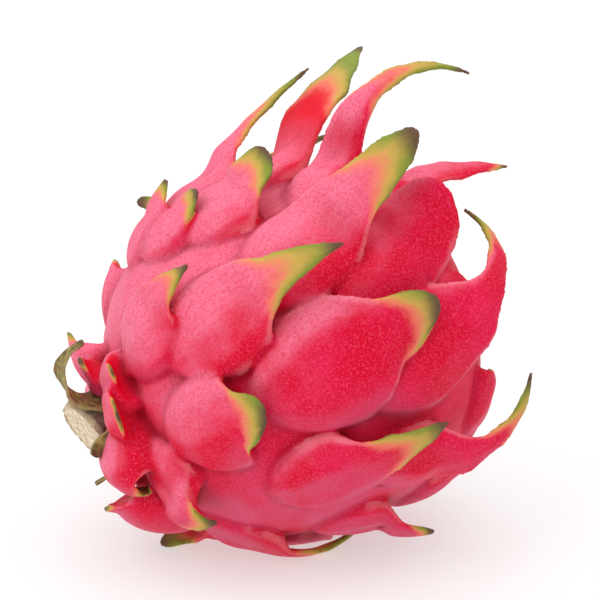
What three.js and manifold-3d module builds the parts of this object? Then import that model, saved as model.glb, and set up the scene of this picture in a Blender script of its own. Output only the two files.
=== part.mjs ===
// A dragon fruit (pitaya) lying on its side, in millimetres, +Z up.
// The skin and its scales grew as one piece, so they are one solid. The dry stem stub, the
// withered scales round it and the scar of the flower are separate pieces of dead tissue.
//
// Fruit frame: +X runs from the stem to the flower end, through the centre of the fruit.
// "along" is the angle from the stem pole (0) to the flower pole (180).
// "around" is the angle about that axis: 0 on top, 90 on the side at -Y, 180 underneath.

import * as THREE from "three";
import { mergeVertices } from "three/addons/utils/BufferGeometryUtils.js";
import Module from "manifold-3d";

const wasm = await Module();
wasm.setup();

// Driving dimensions
const HALF_LENGTH = 43.5;   // of the bare fruit, without its scales
const RADIUS = 42.5;
const SQUARENESS = 2.35;    // 2 is an ellipsoid; more makes the ends blunt
const FLOWER_END_WIDER = 0.03;
const TILT = 14;            // the flower end is propped up on its scales, degrees
const CENTRE_HEIGHT = 45;   // above the table
const GAP = 0.3;            // between separate pieces

const ROOT_DEPTH = 5;       // how far a scale's root is sunk in the fruit
const CUSHION_LENGTH = 0.75; // of the cushion behind a scale, as a share of its root width
const CUSHION_OUTLINE = { blunt: 2.2, round: 0.7, spread: 0.5 };
const CUSHION_FALL = 1.6;   // how its height falls off backwards, and sideways below
const SIDE_FALL = 3;
const MARGIN_SINK = 0.8;    // how far the cushion's margins dip into the skin
const FREE_BY = 0.3;        // the share of a blade's length that it takes to leave the skin
const UNDERSIDE = 0.9;      // the width of a scale's underside, as a share of its upper face
const ROOT_THICKNESS = 2.2; // of a blade
const TIP_THICKNESS = 0.8;
const DRY_THICKNESS = 1.2;  // of a withered scale's root
const TIP_WIDTH = 0.5;
const CAMBER = 0.18;        // how far a blade's margins bend down, as a share of its half width
const BEND_POWER = 1.4;     // a blade bends more towards its tip

const FLOWER_DIP = { radius: 13, depth: 9 };
const DIP_RIM = 20;         // degrees from the flower pole to the rim of the dip
// The stub's radii and lengths, how deep it sits, how far it turns up and to the side from the
// fruit's axis, and its cut's slant
const STUB = { collar: 9, neck: 7.6, length: 13, root: 3, inset: 3, lift: -4, turn: 18, cut: 12 };
const SCAR = { radius: 8.5, thickness: 3 };

// One row for each scale of the skin, from the stem to the flower end.
// lean turns it sideways, lift raises it off the skin, curl and sweep bend it outward and
// sideways by its tip, twist turns its blade. root and waist are its widths, rise is the
// height of its cushion and blunt runs from a pointed tip (0) to a round one (1).
const SCALES = [
  // name         along around lean lift curl sweep twist length root waist blunt rise
  ["stem_1",        25,   50,    0,   8, -15,    0,    0,    5,   15,    6,  0.8,  6],
  ["stem_2",        24,   72,    0,   5, -20,    0,    0,    5,   15,   11,  0.9,  8],
  ["stem_3",        20,  112,   68,   0, -100,    0,    0,   14,   16,   12,  0.3, 10],
  ["stem_4",        25,  162,  180,  35,  20,    0,    0,    4,   22,    9,  0.3, 10],
  ["stem_5",        23,  215,    5,  18, -10,    0,    0,    8,   17,    8,  0.4,  8],
  ["stem_6",        22,  262,   -8,  12, -20,    0,    0,    7,   16,    7,  0.6,  7],
  ["stem_7",        19,  325,    4,  14, -12,    0,    0,    6,   15,    6,  0.8,  7],
  ["stem_8",        14,   18,    0,  20, -10,    0,    0,    6,   13,    8,  0.6,  6],
  ["shoulder_1",    45,   39,  -16,  14, -42,   14,    5,   16,   21,    7,  0.2,  4],
  ["shoulder_2",    55,   85,   -9,  15, -24,   33,   -4,   11,   24,   13,  0.9,  4],
  ["shoulder_3",    33,  117,   32,  29, -89,  -35,    8,   17,   17,   11,  0.1,  4],
  ["shoulder_4",    38,  124,   20,  10, -30,    0,    0,    8,   18,    9,  0.4,  5],
  ["shoulder_5",    57,  156,   12,   7, -73,   -8,    0,   34,   20,    5,  0.2,  3],
  ["shoulder_6",    50,  178,  172,  28,   5,    0,   20,   12,   14,    9,  0.6,  3],
  ["shoulder_7",    48,  240,    6,  16, -20,    0,    4,   18,   20,    9,  0.3,  4],
  ["shoulder_8",    45,  282,   -4,  16, -20,   10,    0,   12,   20,    9,  0.3,  3],
  ["shoulder_9",    46,  318,   15,  16,   0,    0,    8,    4,   18,    8,  0.3,  3],
  ["side_1",        60,  352,  -12,  21,  -4,    0,   -8,   10,   16,    8,  0.2,  4],
  ["side_2",        64,    8,   17,  15,   0,    0,  -10,    9,   15,   11,  0.6,  4],
  ["side_3",        65,   53,  -10,  20,  -8,   24,    3,   32,   25,    9,  0.1,  4],
  ["side_4",        82,  110,  -18,  10, -33,   11,   -4,   28,   21,   10,  0.2,  4],
  ["side_5",        81,  184,    4,   5, -12,    0,    0,   14,   32,   10,  0.4,  5],
  ["side_6",        70,  222,  -12,  16, -18,   10,    0,   22,   24,   10,  0.3,  4],
  ["side_7",        72,  262,    8,  18, -30,  -14,    6,   28,   24,   10,  0.2,  4],
  ["side_8",        65,  307,   -4,  30,  90,  -20,    0,   21,   16,    9,  0.6,  3],
  ["side_9",        76,  349,  -14,  21, -10,   16,  -14,   41,   20,    5,  0.3,  4],
  ["side_10",       81,   12,    0,  27,   4,   -4,  -12,   13,   22,   15,  0.8,  4],
  ["belt_1",        95,   41,  -20,  26,  19,   15,   10,   33,   25,   13,  0.8,  4],
  ["belt_2",        93,   76,  -13,   7, -48,    9,  -29,   25,   31,   14,  0.8,  4],
  ["belt_3",       108,  116,   11,  21, -75,  -49,   22,   37,   17,    5,  0.4,  4],
  ["belt_4",        95,  146,    2,  37, -27,  -13,   14,   14,   19,    7,  0.4,  3],
  ["belt_5",        98,  208,   10,  14, -30,   12,    0,   22,   22,    9,  0.3,  3],
  ["belt_6",        96,  243,   -8,  16, -36,    8,   -6,   30,   24,    8,  0.2,  4],
  ["belt_7",        92,  284,    6,  20, -24,  -10,    8,   26,   24,   11,  0.4,  4],
  ["belt_8",        90,  320,  -10,  24, -30,   10,    0,   34,   22,    8,  0.2,  4],
  ["belt_9",        99,  357,  -21,  36, -27,  -23,    0,   44,   14,   17,  0.1,  4],
  ["crown_1",      109,   16,  -37,  56, -90,   44,  -22,   50,   14,    5,  0.3,  4],
  ["crown_2",      117,   51,  -35,  22,  40,  -55,    0,   17,   25,   20,  0.6,  4],
  ["crown_3",      118,   81,  -16,  14, -100,  -37,   33,   50,   28,    6,  0.4,  4],
  ["crown_4",      122,  156,   -5,  14, -55,   10,    0,   13,   18,    8,  0.3,  3],
  ["crown_5",      120,  188,    8,  16, -40,   -8,    0,   20,   20,    8,  0.3,  4],
  ["crown_6",      118,  226,  -10,  18, -50,   12,    6,   24,   22,    7,  0.2,  4],
  ["crown_7",      116,  265,   10,  22, -60,  -10,    0,   30,   22,    7,  0.2,  4],
  ["crown_8",      114,  304,   -6,  26, -48,   14,  -10,   34,   20,    7,  0.2,  4],
  ["crown_9",      130,   13,   -4,  29, -19,   -9,   -8,   33,   12,    8,  0.1,  3],
  ["navel_1",      141,  340,    6,  18, -40,    0,    0,   14,   20,    9,  0.3,  3],
  ["navel_2",      143,   30,   -8,  10, -40,   10,    0,   10,   19,    8,  0.3,  3],
  ["navel_3",      141,   76,    8,   8, -50,    0,    6,    8,   20,    9,  0.3,  3],
  ["navel_4",      146,  128,   -6,   6, -55,    0,    0,    6,   18,    8,  0.3,  3],
  ["navel_5",      142,  166,    4,  12, -45,    8,    0,   10,   19,    8,  0.3,  3],
  ["navel_6",      143,  208,    0,  14, -45,    0,   -6,   12,   19,    8,  0.3,  3],
  ["navel_7",      141,  250,   -8,  16, -45,    6,    0,   13,   20,    9,  0.3,  3],
  ["navel_8",      144,  294,    8,  18, -45,    0,    0,   14,   19,    8,  0.3,  3],
].map(([name, along, around, lean, lift, curl, sweep, twist, length, root, waist, blunt, rise]) =>
  ({ name, along, around, lean, lift, curl, sweep, twist, length, root, waist, blunt, rise }));

// The withered scales round the stub: the same shape, thin, dry and with no cushion
const DRY_SCALES = [
  // name                 along around lean lift curl sweep twist length root waist blunt rise
  ["stem_scale_upper",      12,   47,  148,  90, 170,    0,    0,   26,    8,    7,  0.3,  0],
  ["stem_scale_side",       17,   97,  180,  88,   4,   -6,    0,   11,    8,    6,  0.6,  0],
  ["stem_scale_lower",      17,  160,  175,  84,   5,   10,   10,   11,    6,    5,  0.4,  0],
].map(([name, along, around, lean, lift, curl, sweep, twist, length, root, waist, blunt, rise]) =>
  ({ name, along, around, lean, lift, curl, sweep, twist, length, root, waist, blunt, rise }));

// How finely a scale's grid is divided: across it, along its cushion and along its blade
const WIDE_COLUMNS = [-1, -0.5, 0, 0.5, 1];
const NARROW_COLUMNS = [-1, 0, 1];
const WIDE_ROOT = 18;       // scales this wide or wider get the wide columns
const CUSHION_ROWS = [-1, -0.5];
const BLADE_STEP = 7;       // millimetres from row to row
const BODY_STEPS = { profile: 16, round: 24 };

const { degToRad, lerp, smoothstep } = THREE.MathUtils;

// ---- The bare fruit -----------------------------------------------------------------------

// 1 on the bare skin, less inside and more outside
function reach(point) {
  const radius = RADIUS * (1 + FLOWER_END_WIDER * point.x / HALF_LENGTH);
  const lengthwise = Math.abs(point.x / HALF_LENGTH) ** SQUARENESS;
  const across = (Math.hypot(point.y, point.z) / radius) ** SQUARENESS;
  return (lengthwise + across) ** (1 / SQUARENESS);
}

// The point of the skin in the direction of a point
function onSkin(point) {
  const found = point.clone().setLength(RADIUS);
  for (let i = 0; i < 3; i++) found.divideScalar(reach(found));
  return found;
}

function skinAt(along, around) {
  const [a, b] = [degToRad(along), degToRad(around)];
  return onSkin(new THREE.Vector3(-Math.cos(a), -Math.sin(a) * Math.sin(b), Math.sin(a) * Math.cos(b)));
}

function skinNormal(point) {
  const step = 0.05;
  const slope = (axis) => reach(point.clone().addScaledVector(axis, step)) - reach(point);
  const axes = [new THREE.Vector3(1, 0, 0), new THREE.Vector3(0, 1, 0), new THREE.Vector3(0, 0, 1)];
  return new THREE.Vector3(...axes.map(slope)).normalize();
}

// ---- One scale ----------------------------------------------------------------------------

// The tangent at a scale's root that points along it, and the one that points across it
function rootFrame(scale) {
  const root = skinAt(scale.along, scale.around);
  const out = skinNormal(root);
  const meridian = skinAt(scale.along + 0.5, scale.around).sub(root);
  meridian.addScaledVector(out, -meridian.dot(out)).normalize();
  const parallel = new THREE.Vector3().crossVectors(meridian, out);
  const lean = degToRad(scale.lean);
  const ahead = meridian.clone().multiplyScalar(Math.cos(lean)).addScaledVector(parallel, Math.sin(lean));
  const across = parallel.clone().multiplyScalar(Math.cos(lean)).addScaledVector(meridian, -Math.sin(lean));
  return { root, out, ahead, across };
}

// The blade's middle line from its root to its tip, with its direction, width and upper face
function bladeLine(scale, frame, steps) {
  const heading = (t) => {
    const pitch = degToRad(scale.lift + scale.curl * t ** BEND_POWER);
    const yaw = degToRad(scale.sweep * t ** BEND_POWER);
    return frame.ahead.clone().multiplyScalar(Math.cos(yaw) * Math.cos(pitch))
      .addScaledVector(frame.out, Math.cos(yaw) * Math.sin(pitch))
      .addScaledVector(frame.across, Math.sin(yaw));
  };
  const finer = 4;          // steps of the sum between two stations
  const middle = frame.root.clone().addScaledVector(frame.out, scale.rise);
  const stations = [];
  for (let i = 0; i <= steps * finer; i++) {
    const t = i / (steps * finer);
    const forward = heading(t);
    if (i > 0) middle.addScaledVector(heading(t - 0.5 / (steps * finer)), scale.length / (steps * finer));
    if (i % finer) continue;
    const side = frame.across.clone().addScaledVector(forward, -frame.across.dot(forward)).normalize();
    side.applyAxisAngle(forward, -degToRad(scale.twist * t));
    const face = new THREE.Vector3().crossVectors(side, forward);
    stations.push({ t, middle: middle.clone(), side, face });
  }
  return stations;
}

function halfWidth(scale, t) {
  const half = 0.5;
  const towardsTip = Math.max(0, (t - half) / half);
  const pointed = 1 - towardsTip;
  const round = Math.sqrt(Math.max(0, 1 - towardsTip ** 2));
  const narrowing = lerp(scale.root, scale.waist, smoothstep(t, 0, half));
  const width = t < half ? narrowing : scale.waist * lerp(pointed, round, scale.blunt);
  return (width + TIP_WIDTH) / 2;
}

// A point at a height above the skin, a way ahead of the scale's root and to its side
function onCushion(frame, ahead, side, height) {
  const flat = frame.root.clone().addScaledVector(frame.ahead, ahead).addScaledVector(frame.across, side);
  const point = onSkin(flat);
  return point.addScaledVector(point.clone().normalize(), height);
}

// A cushion is highest along its middle, and its margins sink into the skin
function cushionHeight(height, side) {
  const edge = Math.abs(side) ** SIDE_FALL;
  return height * (1 - edge) - MARGIN_SINK * edge;
}

// A scale as a closed grid: a cushion seated in the skin, running out into a free blade.
// extra makes it larger all round, to cut its own seat in a neighbour.
function scaleSolid(scale, { dry = false, extra = 0 } = {}) {
  const frame = rootFrame(scale);
  const steps = Math.max(2, Math.round(scale.length / BLADE_STEP));
  const columns = scale.root < WIDE_ROOT ? NARROW_COLUMNS : WIDE_COLUMNS;
  const upper = [];
  const lower = [];
  const cushionLength = CUSHION_LENGTH * scale.root;

  const { blunt, round, spread } = CUSHION_OUTLINE;
  for (const back of dry ? [] : CUSHION_ROWS) {
    const half = scale.root / 2 * (1 - (-back) ** blunt) ** round + spread;
    const height = scale.rise * (1 - (-back) ** CUSHION_FALL);
    const place = (side, depth) => onCushion(frame, back * cushionLength, side * half, depth);
    upper.push(columns.map((side) => place(side, cushionHeight(height, side))));
    lower.push(columns.map((side) => place(side * UNDERSIDE, -ROOT_DEPTH)));
  }

  for (const { t, middle, side: sideways, face } of bladeLine(scale, frame, steps)) {
    const half = halfWidth(scale, t) + extra;
    const thickness = lerp(dry ? DRY_THICKNESS : ROOT_THICKNESS, TIP_THICKNESS, t);
    const free = dry ? 1 : smoothstep(t, 0, FREE_BY);
    const seat = (side, height) => onCushion(frame, t * scale.length, side * half, height);
    const blade = (side, depth) => middle.clone().addScaledVector(sideways, side * half)
      .addScaledVector(face, extra - CAMBER * half * side ** 2 - depth);
    const upperAt = (side) => seat(side, cushionHeight(scale.rise, side)).lerp(blade(side, 0), free);
    const lowerAt = (side) => seat(side, -ROOT_DEPTH).lerp(blade(side, thickness + 2 * extra), free);
    upper.push(columns.map(upperAt));
    lower.push(columns.map((side) => lowerAt(side * UNDERSIDE)));
  }
  return closedGrid(upper, lower);
}

// ---- Solids -------------------------------------------------------------------------------

// Two grids of points, one above the other, joined all round into a solid
function closedGrid(upper, lower) {
  const rows = upper.length;
  const columns = upper[0].length;
  const points = [...upper.flat(), ...lower.flat()];
  const index = (row, column, below = false) => row * columns + column + (below ? rows * columns : 0);
  const faces = [];
  const quad = (a, b, c, d) => faces.push(a, c, b, a, d, c);
  for (let row = 0; row + 1 < rows; row++) {
    for (let column = 0; column + 1 < columns; column++) {
      quad(index(row, column), index(row + 1, column), index(row + 1, column + 1), index(row, column + 1));
      quad(index(row, column, true), index(row, column + 1, true),
        index(row + 1, column + 1, true), index(row + 1, column, true));
    }
    const last = columns - 1;
    quad(index(row, 0), index(row, 0, true), index(row + 1, 0, true), index(row + 1, 0));
    quad(index(row, last), index(row + 1, last), index(row + 1, last, true), index(row, last, true));
  }
  for (let column = 0; column + 1 < columns; column++) {
    const end = rows - 1;
    quad(index(0, column), index(0, column + 1), index(0, column + 1, true), index(0, column, true));
    quad(index(end, column), index(end, column, true), index(end, column + 1, true), index(end, column + 1));
  }
  return solidOf(new Float32Array(points.flatMap((point) => point.toArray())), new Uint32Array(faces));
}

function solidOf(vertProperties, triVerts) {
  return new wasm.Manifold(new wasm.Mesh({ numProp: 3, vertProperties, triVerts }));
}

function solidFrom(geometry) {
  const bare = geometry.clone();
  bare.deleteAttribute("normal");
  bare.deleteAttribute("uv");
  const merged = mergeVertices(bare, 1e-4);
  return solidOf(merged.attributes.position.array, new Uint32Array(merged.index.array));
}

function geometryFrom(solid) {
  const mesh = solid.getMesh();
  const geometry = new THREE.BufferGeometry();
  geometry.setAttribute("position", new THREE.BufferAttribute(mesh.vertProperties, 3));
  geometry.setIndex(new THREE.BufferAttribute(mesh.triVerts, 1));
  geometry.computeVertexNormals();
  return geometry;
}

// A turned shape whose axis is +X: the profile's points are [radius, place along the axis]
function turned(profile, segments) {
  const points = profile.map(([radius, along]) => new THREE.Vector2(radius, along));
  return new THREE.LatheGeometry(points, segments).rotateZ(-Math.PI / 2);
}

function bareFruit() {
  const profile = [];
  for (let i = 0; i <= BODY_STEPS.profile; i++) {
    const point = skinAt(180 * i / BODY_STEPS.profile, 0);
    const onAxis = i === 0 || i === BODY_STEPS.profile;
    profile.push([onAxis ? 0 : point.z, point.x]);
  }
  return solidFrom(turned(profile, BODY_STEPS.round));
}

// The ball that hollows a round bowl out of the flower end
function flowerDip() {
  const { radius, depth } = FLOWER_DIP;
  const sphere = (radius ** 2 + depth ** 2) / (2 * depth);
  const ball = new THREE.SphereGeometry(sphere, 48, 32).rotateZ(Math.PI / 2);
  return solidFrom(ball.translate(skinAt(180 - DIP_RIM, 0).x + sphere - depth, 0, 0));
}

// ---- The dry pieces -----------------------------------------------------------------------

// The stub of the cactus stem: a collar among the cushions, a neck, and a slanting cut
function stub(extra = 0) {
  const { collar, neck, length, root } = STUB;
  const profile = [
    [0, -root - extra], [collar * 0.8 + extra, -root - extra], [collar + extra, -root * 0.3],
    [collar * 0.94 + extra, 1.4], [neck + extra, 3.6], [neck * 1.02 + extra, 6],
    [neck * 1.12 + extra, length - 1.5], [neck + extra, length + 3], [0, length + 3],
  ];
  return solidFrom(turned(profile, 20));
}

function stubPlace() {
  const place = new THREE.Object3D();
  place.position.set(skinAt(0, 0).x + STUB.inset, 0, 0);
  place.rotation.set(0, Math.PI + degToRad(STUB.lift), -degToRad(STUB.turn));
  place.updateMatrix();
  return place;
}

function cutFace() {
  const side = 60;
  const block = new THREE.BoxGeometry(side, side, side).translate(side / 2, 0, 0);
  block.rotateY(-degToRad(STUB.cut)).translate(STUB.length - 1, 0, 0);
  return solidFrom(block);
}

function flowerScar(extra = 0) {
  const { radius, thickness } = SCAR;
  const profile = [
    [0, -extra], [radius * 0.8 + extra, -extra], [radius + extra, thickness * 0.45],
    [radius * 0.9 + extra, thickness * 0.9], [radius * 0.6, thickness], [radius * 0.45, thickness * 0.6],
    [0, thickness * 0.5],
  ];
  return solidFrom(turned(profile, 24));
}

// ---- The pieces, put together --------------------------------------------------------------

const tilted = new THREE.Matrix4().makeRotationY(-degToRad(TILT));

// Cutting leaves a few loose crumbs between the scales
function largest(solid) {
  return solid.decompose().sort((a, b) => b.volume() - a.volume())[0];
}

// The table, as a block that the fruit has flattened itself against
function table() {
  const size = 200;
  const block = new THREE.BoxGeometry(size, size, size).translate(0, 0, -size / 2 - CENTRE_HEIGHT);
  return solidFrom(block.applyMatrix4(tilted.clone().invert()));
}

const stubAt = stubPlace();
const scarX = skinAt(180 - DIP_RIM, 0).x - FLOWER_DIP.depth - SCAR.thickness / 2;

// Each dry piece has a seat cut in its neighbours, larger than itself by the gap
const drySeats = DRY_SCALES.map((scale) => scaleSolid(scale, { dry: true, extra: GAP }));

function fruit() {
  const grown = wasm.Manifold.union([bareFruit(), ...SCALES.map((scale) => scaleSolid(scale))]);
  const cuts = [
    flowerDip(),
    stub(GAP).transform(stubAt.matrix.elements),
    flowerScar(GAP).translate([scarX, 0, 0]),
    table(),
    ...drySeats,
  ];
  return largest(grown.subtract(wasm.Manifold.union(cuts)));
}

function stemStub() {
  const toStub = stubAt.matrix.clone().invert();
  const seats = drySeats.map((seat) => seat.transform(toStub.elements));
  return largest(stub().subtract(wasm.Manifold.union([cutFace(), ...seats])));
}

function material(color, roughness) {
  return new THREE.MeshStandardMaterial({ color, roughness, metalness: 0 });
}

function piece(name, solid, finish) {
  const mesh = new THREE.Mesh(geometryFrom(solid), finish);
  mesh.name = name;
  return mesh;
}

const skin = material(0xe8325f, 0.5);
const cork = material(0x9c8465, 0.9);
const withered = material(0x8b7a45, 0.85);
const scarBrown = material(0x6b4a32, 0.9);

const lying = new THREE.Group();
lying.rotation.y = -degToRad(TILT);
lying.add(piece("fruit", fruit(), skin));

const stubMesh = piece("stem_stub", stemStub(), cork);
stubMesh.position.copy(stubAt.position);
stubMesh.rotation.copy(stubAt.rotation);
lying.add(stubMesh);

for (const scale of DRY_SCALES) {
  lying.add(piece(scale.name, scaleSolid(scale, { dry: true }), withered));
}

const scarMesh = piece("flower_scar", flowerScar(), scarBrown);
scarMesh.position.x = scarX;
lying.add(scarMesh);

const dragonFruit = new THREE.Group();
dragonFruit.add(lying);

// The origin is on the table, under the middle of the whole fruit
const bounds = new THREE.Box3().setFromObject(dragonFruit, true);
const middle = bounds.getCenter(new THREE.Vector3());
lying.position.set(-middle.x, -middle.y, -bounds.min.z);

export default dragonFruit;
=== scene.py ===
# %% [markdown]
# # A dragon fruit, lying on its side
# A dragon fruit is the fruit of a climbing cactus. Its skin is pink and waxy, and leaf-like scales
# grow out of it, each with a fleshy foot that runs down into the skin and a blade that turns green
# and curls towards its tip. At one end is the dry stub of the stem it was cut from; at the other
# is the navel that the flower left. This lesson makes each of these, and its finish, in turn.

# %% Load the frame
import math

import bmesh
import bpy
import numpy as np
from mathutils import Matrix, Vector
from mathutils.kdtree import KDTree


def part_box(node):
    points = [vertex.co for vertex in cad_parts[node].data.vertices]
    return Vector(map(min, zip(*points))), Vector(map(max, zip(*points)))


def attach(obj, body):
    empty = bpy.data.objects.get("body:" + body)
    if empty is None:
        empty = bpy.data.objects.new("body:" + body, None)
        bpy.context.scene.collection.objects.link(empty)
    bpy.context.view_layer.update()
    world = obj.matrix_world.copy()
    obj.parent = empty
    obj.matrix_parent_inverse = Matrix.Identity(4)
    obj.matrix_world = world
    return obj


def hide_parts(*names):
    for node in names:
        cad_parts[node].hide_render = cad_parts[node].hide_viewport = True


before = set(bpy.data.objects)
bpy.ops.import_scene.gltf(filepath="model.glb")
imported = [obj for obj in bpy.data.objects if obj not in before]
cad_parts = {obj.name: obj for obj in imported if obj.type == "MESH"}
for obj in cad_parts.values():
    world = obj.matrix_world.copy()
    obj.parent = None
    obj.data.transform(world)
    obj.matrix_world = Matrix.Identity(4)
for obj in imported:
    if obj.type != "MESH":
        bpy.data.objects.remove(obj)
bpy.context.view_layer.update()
MM = 0.001
print("solids in the frame:", sorted(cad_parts))

# %% [markdown]
# ## Where the fruit lies
# It is easiest to make the fruit along its own axis, in millimetres, and to lay it down at the end.
# The flower scar sits on that axis, so its box tells where the axis is. The fruit's centre is a
# little lower than its lowest scales would hold it, which leaves a flat spot for it to rest on.

# %% The fruit's own frame
HALF_LENGTH = 43.5          # of the bare fruit, without its scales
RADIUS = 42.5
SQUARENESS = 2.35           # 2 is an ellipsoid; more makes the ends blunt
FLOWER_END_WIDER = 0.03
TILT = math.radians(14)     # the flower end is propped up on its scales
CENTRE_HEIGHT = 45.0
FLOWER_DIP = {"radius": 13.0, "depth": 9.0}
DIP_RIM = 20                # degrees from the flower pole to the rim of its dip
SCAR = {"radius": 8.5, "thickness": 3.0}


def vec(*values):
    return np.array(values, float)


def unit(v):
    return v / np.linalg.norm(v, axis=-1, keepdims=True)


def reach(points):
    """1 on the bare skin, less inside and more outside."""
    radius = RADIUS * (1 + FLOWER_END_WIDER * points[..., 0] / HALF_LENGTH)
    lengthwise = np.abs(points[..., 0] / HALF_LENGTH) ** SQUARENESS
    across = (np.hypot(points[..., 1], points[..., 2]) / radius) ** SQUARENESS
    return (lengthwise + across) ** (1 / SQUARENESS)


def on_skin(points):
    """The points of the bare skin in the directions of these points."""
    found = unit(points) * RADIUS
    for _ in range(3):
        found = found / reach(found)[..., None]
    return found


def skin_at(along, around):
    """along: degrees from the stem pole. around: 0 on top, 90 at -Y, 180 underneath."""
    a, b = np.radians(along), np.radians(around)
    return on_skin(np.stack([-np.cos(a), -np.sin(a) * np.sin(b), np.sin(a) * np.cos(b)], -1))


scar_low, scar_high = (np.array(corner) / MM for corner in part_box("flower_scar"))
scar_x = skin_at(180 - DIP_RIM, 0)[0] - FLOWER_DIP["depth"] - SCAR["thickness"] / 2
scar_middle = scar_x + SCAR["thickness"] / 2
centre = (scar_low + scar_high) / 2 - scar_middle * vec(math.cos(TILT), 0, math.sin(TILT))
centre[2] = CENTRE_HEIGHT
LAY_DOWN = np.array([
    [math.cos(TILT), 0, -math.sin(TILT)],
    [0, 1, 0],
    [math.sin(TILT), 0, math.cos(TILT)],
])


def to_row(points):
    """From the fruit's frame in millimetres to the row frame in metres."""
    return (points @ LAY_DOWN.T + centre) * MM


print("centre of the fruit in mm:", centre.round(2))

# %% [markdown]
# ## The scales
# A scale has three stretches. Its cushion swells out of the skin behind it, its root leaves the
# skin, and its blade runs free, bending as it goes. No two are alike, and a buyer knows a dragon
# fruit by exactly this, so each one has its own row, in the order in which they grow.

# Angles are in degrees and lengths in mm. `around` goes from the top towards the -Y side; `green`
# is the share of the blade's length where it starts to turn green.

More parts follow.
